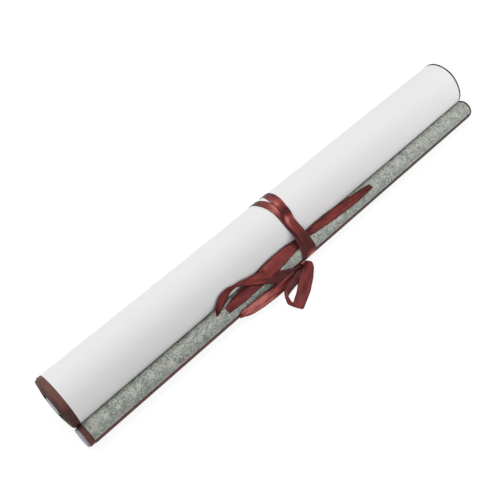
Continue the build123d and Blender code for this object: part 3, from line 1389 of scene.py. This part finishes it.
@dataclass(frozen=True)
class Ribbon:
    """A flat ribbon: its width, how it is divided and how it gathers."""

    width: float
    thickness: float = 0.22 * MM
    step: float = 0.9 * MM
    divisions: int = 10
    pleats: float = 1.1 * MM
    pleat_turn: float = 2.5 * math.pi
    crinkle: float = 0.16 * MM
    crinkle_size: float = 9 * MM
    rim_depth: float = 0.6
    corner_reach: int = 2

    def grid(self, rows: Sequence[Sequence[Vector]], painted_lights: Sequence[float]) -> Shape:
        """Surface through rows of points across the ribbon, deeper in colour along its rims.

        Args:
            rows: the rows of points.
            painted_lights: the painted light and shade of each row.

        Returns:
            The surface.
        """
        shape = Shape()
        run = 0.0
        count = len(rows[0])
        middle = count // 2
        for number, row in enumerate(rows):
            if number:
                run += (row[middle] - rows[number - 1][middle]).length
            for index, point in enumerate(row):
                rim = index in (0, count - 1)
                shape.points.append(point)
                # Painted light and shade of the row, darker along the rims.
                shape.painted_lights.append(painted_lights[number] - self.rim_depth * rim)
                shape.flats.append((self.width * index / (count - 1), run))
        shape.lattice(len(rows), count)
        return shape

    def station(self, middle: Point, across: Point, share: float, tone: float) -> Span:
        """Span about a middle.

        Args:
            middle: the middle, in millimetres.
            across: direction across the ribbon.
            share: share of the ribbon's width.
            tone: painted light and shade there.

        Returns:
            The span.
        """
        half = Vector(across).normalized() * (share * self.width / 2)
        centre = Vector(middle) * MM
        return Span(centre - half, centre + half, tone)

    def samples(self, spans: Sequence[Span], sharp: bool) -> list[Span]:
        """Spans close together on the way through the given ones.

        Args:
            spans: the given spans.
            sharp: True for straight runs with small rounded corners, False for one smooth sweep.

        Returns:
            The spans, about a step apart.
        """
        firsts = [place.first for place in spans]
        lasts = [place.last for place in spans]
        painted_lights = [place.tone for place in spans]
        made = []
        for number in range(len(spans) - 1):
            moves = [ends[number + 1] - ends[number] for ends in (firsts, lasts)]
            count = max(2, math.ceil(max(move.length for move in moves) / self.step))
            for index in range(count + (number == len(spans) - 2)):
                share = index / count
                if sharp:
                    first = firsts[number] + moves[0] * share
                    last = lasts[number] + moves[1] * share
                else:
                    first = between(firsts, number, share)
                    last = between(lasts, number, share)
                made.append(Span(first, last, between(painted_lights, number, share)))
        return self.softened(made) if sharp else made

    def softened(self, spans: Sequence[Span]) -> list[Span]:
        """The spans, each evened out with its neighbours, so that corners are a little round.

        Args:
            spans: the spans, close together.

        Returns:
            As many spans.
        """
        made = []
        for number, place in enumerate(spans):
            reach = min(self.corner_reach, number, len(spans) - 1 - number)
            near = spans[number - reach:number + reach + 1]
            first = sum((other.first for other in near), Vector()) / len(near)
            last = sum((other.last for other in near), Vector()) / len(near)
            made.append(Span(first, last, place.tone))
        return made

    def along(
        self,
        spans: Sequence[Span],
        rest: Callable[[Vector], Vector],
        cup: float,
        sharp: bool = False,
    ) -> Shape:
        """Ribbon through a row of spans, resting on what it lies on.

        Args:
            spans: the lines across the ribbon.
            rest: moves a point out of what the ribbon may not pass through.
            cup: how far the middle stands proud of the edges.
            sharp: True where the ribbon has corners.

        Returns:
            The ribbon's surface.
        """
        way = self.samples(spans, sharp)
        rows = []
        for number, place in enumerate(way):
            ahead = way[min(number + 1, len(way) - 1)].middle() - way[max(number - 1, 0)].middle()
            across = place.last - place.first
            share = min(across.length / self.width, 1.0)
            facing = ahead.cross(across).normalized()
            row = []
            for index in range(self.divisions + 1):
                side = 2 * index / self.divisions - 1
                flat = place.first + across * (index / self.divisions)
                swell = cup * (1 - side * side) * share
                swell += (1 - share) * self.pleats * math.cos(self.pleat_turn * side)
                swell += self.crinkle * noise.noise(flat / self.crinkle_size)
                row.append(rest(flat + facing * swell))
            rows.append(row)
        return self.grid(rows, [place.tone for place in way])

    def dress(self, shape: Shape, name: str) -> bpy.types.Object:
        """Satin ribbon of even thickness from a surface.

        Args:
            shape: the surface.
            name: the piece's name.

        Returns:
            The object.
        """
        made = shape.piece(name, SATIN)
        solid = made.modifiers.new("thickness", "SOLIDIFY")
        solid.thickness = self.thickness
        solid.offset = 0.0
        return made


@dataclass
class HangingRibbon:
    """Ribbon for hanging the scroll, fastened to the stave at both ends and slack in the notch."""

    bundle: Bundle
    ribbon: Ribbon
    lift: float = 0.2 * MM
    cup: float = 0.3 * MM
    length: float = 0.2

    def build(self) -> None:
        """Lays the ribbon on the stave between its fastened ends."""
        # The last value of each span is its painted light and shade.
        spans = (
            span((-94, -37, 17.5), (-94, -32, 19.5), 0.3),
            span((-90, -37, 17), (-90, -30, 19.5), 0.35),
            span((-76, -37.5, 16.5), (-75.5, -27, 19), 0.36),
            span((-59.5, -37.5, 17), (-59.5, -26.5, 19.5), 0.38),
            span((-43, -37, 17.5), (-43, -26.7, 25), 0.5),
            span((-27, -36.3, 18), (-27, -26.6, 26), 0.58),
            span((-14, -34.7, 18.7), (-13.7, -26.7, 25.3), 0.5),
            span((-5.5, -34, 19), (-3.5, -26.7, 22.5), 0.25),
            span((4.7, -32.7, 19.5), (6, -26.6, 21.3), 0.1),
            span((13.5, -32, 19.6), (13.3, -26.6, 22), 0.25),
            span((23.5, -33.3, 19.3), (22.7, -26.8, 23.2), 0.42),
            span((39.7, -34.7, 18.7), (39, -26.7, 22.5), 0.4),
            span((62.5, -36.2, 18), (63, -26, 18.7), 0.36),
            span((81, -36.3, 18), (79, -28.2, 19.5), 0.28),
            span((90, -36, 18), (89, -29.7, 19.7), 0.14),
            span((96.5, -35.5, 18.2), (96.2, -31, 19.6), 0.08),
        )
        shape = self.ribbon.along(spans, self.rest, self.cup)
        made = self.ribbon.dress(shape, "hanging_ribbon_satin")
        settle(made, Slot.SATIN, "hanging_ribbon")

    def rest(self, point: Vector) -> Vector:
        """The point, kept off the stave and the roll."""
        return self.bundle.cleared(point, self.lift)


@dataclass
class TieRibbon:
    """Ribbon that ties roll and stave together: two laps, a knot, two loops and a tail."""

    bundle: Bundle
    ribbon: Ribbon
    length: float = 0.79
    lift: float = 0.3 * MM
    lap_start: float = 205.0
    lap_pleats: float = 0.4 * MM
    slope_step: float = 0.01
    tail_cup: float = 0.4 * MM
    side_loop_cup: float = 0.5 * MM
    front_loop_cup: float = 0.4 * MM
    knot_cup: float = 0.8 * MM
    knot_middle: Vector = Vector((-8.0, -41.8, 5.2)) * MM
    knot_across: Vector = Vector((1.0, 0.15, 0.1))
    knot_reaches: Point = (0.432 * MM, 3.6 * MM, 3.24 * MM)
    knot_folds: int = 9
    knot_start: float = 0.6
    # Painted shade of the knot, and the painted glint on some of its folds.
    knot_shade: float = 0.1
    knot_glint: float = 1.6

    def build(self) -> None:
        """Makes all of the ribbon's stretches as one piece."""
        shape = Shape()
        for stretch in (self.laps(), self.tail(), self.side_loop(), self.front_loop(), self.knot()):
            shape.add(stretch)
        made = self.ribbon.dress(shape, "tie_ribbon_satin")
        settle(made, Slot.SATIN, "tie_ribbon")

    def tangent(self) -> float:
        """Angle at which a band drawn tight leaves the roll for the stave."""
        taper = (self.bundle.roll_radius - self.bundle.stave_radius) / self.bundle.apart()
        return 180 + self.bundle.lean() - math.degrees(math.acos(taper))

    def girdle(self, distance: float) -> tuple[Vector, Vector]:
        """Place on a tight lap round roll and stave, and the way that it faces there.

        Args:
            distance: distance along the lap from the knot, up over the notch and round the roll.

        Returns:
            The place at X = 0 and the unit normal.
        """
        bundle = self.bundle
        tangent = self.tangent()
        on_stave = bundle.stave_radius * math.radians(self.lap_start - tangent)
        bridge = math.sqrt(bundle.apart() ** 2 - (bundle.roll_radius - bundle.stave_radius) ** 2)
        on_roll = bundle.roll_radius * math.radians(tangent + 360 - BELOW)
        under_stave = bundle.stave_radius * math.radians(BELOW - self.lap_start)
        left = distance % (on_stave + 2 * bridge + on_roll + under_stave)
        if left < on_stave:
            return self.round_stave(self.lap_start - math.degrees(left / bundle.stave_radius))
        left -= on_stave
        if left < bridge:
            return self.bridged(tangent, left / bridge)
        left -= bridge
        if left < on_roll:
            return self.round_roll(tangent - math.degrees(left / bundle.roll_radius))
        left -= on_roll
        if left < bridge:
            return self.bridged(BELOW, 1 - left / bridge)
        return self.round_stave(BELOW - math.degrees((left - bridge) / bundle.stave_radius))

    def round_stave(self, angle: float) -> tuple[Vector, Vector]:
        """Place and facing on the stave's cover."""
        turn = math.radians(angle)
        return self.bundle.on_stave(0.0, angle), Vector((0, math.cos(turn), math.sin(turn)))

    def round_roll(self, angle: float) -> tuple[Vector, Vector]:
        """Place on the roll, and the way that it faces.

        Args:
            angle: the angle round the roll.

        Returns:
            The place at X = 0 and the unit normal.
        """
        turn = math.radians(angle)
        facing = Vector((0, math.cos(turn), math.sin(turn)))
        axis = Vector((0, self.bundle.roll_y, self.bundle.roll_z))
        return axis + facing * self.bundle.roll_skin(angle), facing

    def bridged(self, angle: float, share: float) -> tuple[Vector, Vector]:
        """Place on a straight stretch from the stave to the roll, and the way that it faces.

        Args:
            angle: the angle round both at which the stretch touches them.
            share: share of the way to the roll.

        Returns:
            The place at X = 0 and the unit normal.
        """
        from_stave, facing = self.round_stave(angle)
        to_roll, _ = self.round_roll(angle)
        return from_stave.lerp(to_roll, share), facing

    def laps(self) -> Shape:
        """Both laps: up from the knot, twice round roll and stave, and back to the knot.

        A place on the route has its distance along the laps and the X of its middle in
        millimetres, its share of the ribbon's width, its lift in millimetres and its painted light and shade.

        Returns:
            The ribbon's surface.
        """
        # The last column is painted light and shade.
        route = (
            (0, -7.0, 0.35, 0.6, 0.05), (8, -3.0, 0.5, 0.5, 0.1), (17, -1.6, 0.5, 0.3, 0.15),
            (30, -0.8, 0.5, 0.15, 0.2), (41, -1.2, 0.8, 0.1, 0.3), (49, -2.1, 0.8, 0.1, 0.3),
            (56, -2.9, 0.72, 0.1, 0.8), (60, -3.6, 0.66, 0.1, 0.9), (68.5, -4.6, 0.66, 0.1, 0.5),
            (76, -5.8, 0.65, 0.1, 0.28), (85, -6.2, 0.6, 0.1, 0.1), (95, -6.4, 0.65, 0.1, 0.2),
            (105, -6.6, 0.75, 0.1, 0.5), (125, -5.5, 0.85, 0.1, 0.3), (145, -3.0, 0.85, 0.0, 0.2),
            (160, 0.5, 0.85, 0.1, 0.1), (175, 3.2, 0.9, 0.3, 0.3), (185, 4.4, 1.0, 0.3, 0.85),
            (190, 4.9, 1.0, 0.3, 0.6), (194, 5.2, 1.0, 0.3, 0.15), (203, 5.0, 0.95, 0.4, 0.12),
            (214, 3.4, 0.85, 0.5, 0.3), (225, 1.1, 0.88, 0.5, 0.6), (230, 1.5, 0.85, 0.55, 0.8),
            (235.6, 2.5, 0.82, 0.55, 0.02), (240, 2.9, 0.75, 0.5, 0.35), (246, 4.1, 0.75, 0.3, 0.8),
            (252.5, 4.9, 0.78, 0.1, 0.55), (259, 5.8, 0.72, 0.1, 0.28), (263.5, 6.4, 0.63, 0.1, 0.12),
            (270, 7.4, 0.6, 0.1, 0.1), (288, 7.4, 0.7, 0.1, 0.5), (310, 5.0, 0.85, 0.1, 0.3),
            (330, 2.5, 0.85, 0.1, 0.2), (345, -1.0, 0.7, 0.5, 0.2), (358, -4.5, 0.5, 0.9, 0.15),
            (369, -7.0, 0.35, 0.6, 0.05),
        )
        distances = [place[0] * MM for place in route]
        centres = [place[1] * MM for place in route]
        shares = [place[2] for place in route]
        lifts = [place[3] * MM for place in route]
        lap_lights = [place[4] for place in route]
        painted_lights = []
        rows = []
        for number in range(len(route) - 1):
            gap = distances[number + 1] - distances[number]
            count = max(2, math.ceil(gap / self.ribbon.step))
            for index in range(count):
                part = index / count
                centre = between(centres, number, part)
                climb = between(centres, number, part + self.slope_step) - centre
                rows.append(self.lap_row(
                    distances[number] + part * gap,
                    centre,
                    math.atan(climb / (self.slope_step * gap)),
                    between(shares, number, part),
                    between(lifts, number, part) + self.ribbon.thickness,
                ))
                painted_lights.append(between(lap_lights, number, part))
        return self.ribbon.grid(rows, painted_lights)

    def lap_row(self, distance: float, centre: float, turn: float, share: float, lift: float) -> list[Vector]:
        """Points across a lap, gathered where it is narrow.

        Args:
            distance: distance of the row's middle along the laps.
            centre: its X.
            turn: how far the lap slants there, in radians.
            share: share of the ribbon's width.
            lift: how far it is off what it lies on.

        Returns:
            The points.
        """
        least = self.ribbon.thickness / 2
        row = []
        for division in range(self.ribbon.divisions + 1):
            side = 2 * division / self.ribbon.divisions - 1
            half = side * share * self.ribbon.width / 2
            place, facing = self.girdle(distance - half * math.sin(turn))
            gather = (1 - share) * self.lap_pleats * math.cos(self.ribbon.pleat_turn * side)
            place = place + facing * max(lift + gather, least)
            place.x = centre + half * math.cos(turn)
            place.z = max(place.z, least)
            row.append(place)
        return row

    def rest(self, point: Vector) -> Vector:
        """The point, kept off the stave, the roll and the floor."""
        return self.bundle.cleared(point, self.lift + self.ribbon.thickness)

    def tail(self) -> Shape:
        """Free tail: up from the knot into the notch, and down on to the stave with a slanting cut.

        Returns:
            The ribbon's surface.
        """
        # The last value of each span is its painted light and shade.
        spans = (
            span((-9.5, -41.5, 4.5), (-8.0, -41.5, 8.0), 0.0),
            span((-17, -42.3, 5.2), (-13.5, -42.5, 10.0), 0.0),
            span((-26, -42.7, 8.0), (-20.3, -41.5, 12.2), 0.0),
            span((-40.5, -44.0, 12.0), (-31.2, -37.8, 16.7), 0.05),
            span((-51.0, -39.2, 17.8), (-42.3, -31.2, 22.0), 0.25),
            span((-58, -35, 19.5), (-48.5, -28.5, 23.5), 0.42),
            span((-64.3, -30, 20.2), (-53.7, -27, 23.5), 0.52),
            span((-70.5, -27.3, 23.3), (-61.5, -27, 26.5), 0.5),
            span((-75, -27, 26.8), (-69, -26.3, 29), 0.46),
            span((-80, -27, 27), (-76.5, -26, 30), 0.44),
            span((-83.2, -27.2, 26.0), (-83, -25, 32.3), 0.43),
            span((-86.5, -27.8, 23.6), (-89.8, -25, 32.3), 0.42),
            span((-89.3, -28, 21), (-94.8, -25.7, 30.8), 0.4),
            span((-93.8, -29, 19.5), (-99.6, -27, 25.7), 0.36),
            span((-99.6, -31.7, 20), (-102, -28.5, 21.5), 0.33),
            span((-104, -32.7, 20), (-104.6, -32, 20.2), 0.3),
        )
        return self.ribbon.along(spans, self.rest, self.tail_cup, sharp=True)

    def side_loop(self) -> Shape:
        """Loop that lies along the stave: out over the top and back underneath.

        Returns:
            The ribbon's surface.
        """
        station = self.ribbon.station
        # The last value of each station is its painted light and shade.
        spans = (
            station((-8, -42.0, 5.2), (0.1, 0.6, 0.75), 0.4, 0.05),
            station((-15, -43.0, 6.6), (0.1, 0.7, 0.66), 0.6, 0.08),
            station((-24, -44.8, 7.8), (0.06, 0.7, 0.7), 0.72, 0.2),
            station((-35, -46.0, 8.9), (0.0, 0.66, 0.75), 0.74, 0.48),
            station((-46, -46.6, 9.5), (-0.05, 0.62, 0.78), 0.75, 0.65),
            station((-59, -45.4, 10.0), (-0.2, 0.64, 0.73), 0.88, 0.82),
            station((-68, -44.8, 10.0), (-0.15, 0.6, 0.78), 0.85, 0.9),
            station((-77, -43.6, 9.8), (0.0, 0.55, 0.83), 0.72, 0.88),
            station((-84.5, -41.7, 10.1), (0.1, 0.6, 0.8), 0.46, 0.75),
            station((-87.3, -40.6, 9.0), (0.1, 0.8, 0.6), 0.3, 0.5),
            station((-79, -39.9, 5.6), (0.0, 0.9, 0.4), 0.3, 0.1),
            station((-70, -40.0, 2.6), (0.0, 0.97, 0.2), 0.55, 0.1),
            station((-60, -40.3, 1.4), (0.0, 0.98, 0.12), 0.7, 0.1),
            station((-45, -40.3, 1.4), (0.0, 0.98, 0.12), 0.7, 0.1),
            station((-28, -40.8, 1.9), (0.0, 0.95, 0.25), 0.65, 0.1),
            station((-16, -41.4, 3.2), (0.0, 0.8, 0.6), 0.5, 0.08),
            station((-8, -41.6, 4.4), (0.0, 0.6, 0.8), 0.4, 0.05),
        )
        return self.ribbon.along(spans, self.rest, self.side_loop_cup)

    def front_loop(self) -> Shape:
        """Loop in front: flat on the floor on its way out, and on its edge on its way back.

        Returns:
            The ribbon's surface.
        """
        # The last value of each span is its painted light and shade.
        spans = (
            span((-9.0, -43.6, 6.5), (-4.0, -42.5, 8.5), 0.2),
            span((-11.9, -44.2, 6.0), (-0.6, -46.2, 7.0), 0.3),
            span((-17.0, -46.2, 5.0), (-3.0, -50.4, 4.5), 0.38),
            span((-25.0, -51.1, 3.5), (-11.4, -56.9, 1.6), 0.4),
            span((-32.7, -56.3, 2.0), (-23.2, -64.4, 1.0), 0.38),
            span((-41.6, -60.8, 1.0), (-41.6, -72.8, 1.0), 0.42),
            span((-42.8, -61.0, 1.4), (-45.0, -66.6, 1.6), 0.45),
            span((-42.6, -59.1, 1.6), (-48.2, -60.2, 3.5), 0.4),
            span((-41.0, -54.2, 1.8), (-45.8, -54.8, 8.0), 0.32),
            span((-39.2, -53.2, 1.8), (-41.9, -50.3, 9.5), 0.28),
            span((-34.3, -52.0, 1.8), (-35.2, -48.0, 10.0), 0.24),
            span((-27.0, -51.0, 1.8), (-26.3, -45.8, 8.5), 0.2),
            span((-21.4, -51.0, 2.0), (-18.2, -43.8, 8.0), 0.12),
            span((-13.0, -45.6, 3.5), (-9.5, -42.6, 6.5), 0.05),
        )
        return self.ribbon.along(spans, self.rest, self.front_loop_cup, sharp=True)

    def knot(self) -> Shape:
        """Band of the knot, gathered round the roots of the loops, in painted shade with a painted glint on
        every third fold.

        Returns:
            The ribbon's surface.
        """
        half = self.knot_across.normalized() * self.ribbon.width / 4
        along, deep, high = self.knot_reaches
        spans = []
        for number in range(self.knot_folds + 1):
            turn = math.tau * number / self.knot_folds + self.knot_start
            outward = Vector((along * math.sin(turn), deep * math.cos(turn), high * math.sin(turn)))
            centre = self.knot_middle + outward
            # Painted glint on every third fold, painted shade on the others.
            tone = self.knot_glint if number % 3 == 1 else self.knot_shade
            spans.append(Span(centre - half, centre + half, tone))
        return self.ribbon.along(spans, self.rest, self.knot_cup)


@dataclass(frozen=True)
class Lamp:
    """Soft square lamp that faces the scroll's middle."""

    name: str
    place: Vector
    size: float
    power: float

    def hang(self) -> None:
        """Puts the lamp in the scene."""
        data = bpy.data.lights.new(self.name, "AREA")
        data.size = self.size
        data.energy = self.power
        made = bpy.data.objects.new(self.name, data)
        bpy.context.scene.collection.objects.link(made)
        made.location = self.place
        made.rotation_euler = (-self.place).to_track_quat("-Z", "Y").to_euler()


@dataclass(frozen=True)
class Studio:
    """Camera, lamps, world and floor."""

    camera_place: Vector = Vector((-304.229, -337.998, 550.2)) * MM
    camera_aim: Vector = Vector((-35.219, -2.602, 20.0)) * MM
    camera_roll: float = 0.137
    lens: float = 54.72
    sensor: float = 36.0
    key: Lamp = Lamp("key", place=Vector((-0.1, 0.45, 1.2)), size=1.0, power=8.3)
    side: Lamp = Lamp("side", place=Vector((0.68, -0.4, 0.15)), size=0.4, power=1.8)
    world_strength: float = 0.5
    floor_reach: float = 6.0
    floor_glow: float = 0.88
    floor_shade: float = 0.2
    floor_bounce: float = 0.85

    def build(self) -> None:
        """Sets up everything that isn't part of the scroll."""
        scene = bpy.context.scene
        scene.view_settings.view_transform = "Standard"
        scene.camera = self.camera()
        self.key.hang()
        self.side.hang()
        self.world()
        self.floor()

    def camera(self) -> bpy.types.Object:
        """Camera at the photograph's place, turned a little about its own axis.

        Returns:
            The camera.
        """
        forward = (self.camera_aim - self.camera_place).normalized()
        level = forward.cross(Vector((0, 0, 1))).normalized()
        down = forward.cross(level)
        turn = self.camera_roll
        right = level * math.cos(turn) + down * math.sin(turn)
        lower = down * math.cos(turn) - level * math.sin(turn)
        data = bpy.data.cameras.new("camera")
        data.lens = self.lens
        data.sensor_width = self.sensor
        made = bpy.data.objects.new("camera", data)
        bpy.context.scene.collection.objects.link(made)
        axes = Matrix((right, -lower, -forward)).transposed()
        made.matrix_world = Matrix.Translation(self.camera_place) @ axes.to_4x4()
        return made

    def world(self) -> None:
        """Even fill light, with plain white where the world is seen."""
        world = bpy.data.worlds.new("studio")
        bpy.context.scene.world = world
        bench = MaterialBench(world)
        white = grey(1.0)
        fill = bench.node("ShaderNodeBackground", None, {"Color": white, "Strength": self.world_strength})
        plain = bench.node("ShaderNodeBackground", None, {"Color": white, "Strength": 1.0})
        shown = bench.node("ShaderNodeMixShader", None, {0: bench.seen(), 1: fill, 2: plain})
        bench.close("ShaderNodeOutputWorld", shown)

    def floor(self) -> None:
        """White floor that keeps a soft shadow."""
        reach = self.floor_reach
        corners = [(-reach, -reach, 0), (reach, -reach, 0), (reach, reach, 0), (-reach, reach, 0)]
        mesh = bpy.data.meshes.new("floor")
        mesh.from_pydata(corners, [], [(0, 1, 2, 3)])
        made = bpy.data.objects.new("floor", mesh)
        bpy.context.scene.collection.objects.link(made)
        material = bpy.data.materials.new("white_floor")
        bench = MaterialBench(material)
        plain = bench.node("ShaderNodeBsdfDiffuse", None, {"Color": grey(self.floor_bounce)})
        shaded = bench.node("ShaderNodeBsdfDiffuse", None, {"Color": grey(self.floor_shade)})
        white = bench.node("ShaderNodeEmission", None, {"Strength": self.floor_glow})
        lit = bench.node("ShaderNodeAddShader", None, {0: shaded, 1: white})
        shown = bench.node("ShaderNodeMixShader", None, {0: bench.seen(), 1: plain, 2: lit})
        bench.close("ShaderNodeOutputMaterial", shown)
        mesh.materials.append(material)
        made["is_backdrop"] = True


def dress_rods(nodes: Mapping[str, bpy.types.Object]) -> None:
    """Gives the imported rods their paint.

    Args:
        nodes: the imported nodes' objects, by name.
    """
    for name in ("roller_rod", "stave"):
        rod = nodes[name]
        rod.data.materials.clear()
        rod.data.materials.append(PAINT.material())
        LOG.info("%s: painted", name)


def scatter_threads(winding: Winding) -> None:
    """Lays the pale and the dark floating threads on the brocade.

    Args:
        winding: the sheet's way, which the brocade follows.
    """
    FloatThreads(
        winding,
        "pale_float_threads",
        PALE_THREAD,
        per_square_metre=95000,
        spacing=1.8 * MM,
        radius=2.0 * MM,
        thickness=0.28 * MM,
        seed=11,
    ).build()
    FloatThreads(
        winding,
        "dark_float_threads",
        DARK_THREAD,
        per_square_metre=110000,
        spacing=1.8 * MM,
        radius=1.8 * MM,
        thickness=0.26 * MM,
        seed=23,
    ).build()


def main() -> None:
    """Builds the scroll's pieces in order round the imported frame."""
    logging.basicConfig(level=logging.INFO, format="%(name)s %(message)s")
    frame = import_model()
    packed_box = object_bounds()
    bundle = Bundle.from_frame()
    winding = Winding(bundle)
    Sheet(winding).build()
    dress_rods(frame["nodes"])
    scatter_threads(winding)
    HangingRibbon(bundle, Ribbon(10 * MM)).build()
    TieRibbon(bundle, Ribbon(12 * MM)).build()
    Studio().build()
    boxes = {"cad": packed_box, "visual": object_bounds()}
    {name: [list(corner) for corner in box] for name, box in boxes.items()}


if __name__ == "__main__":
    main()
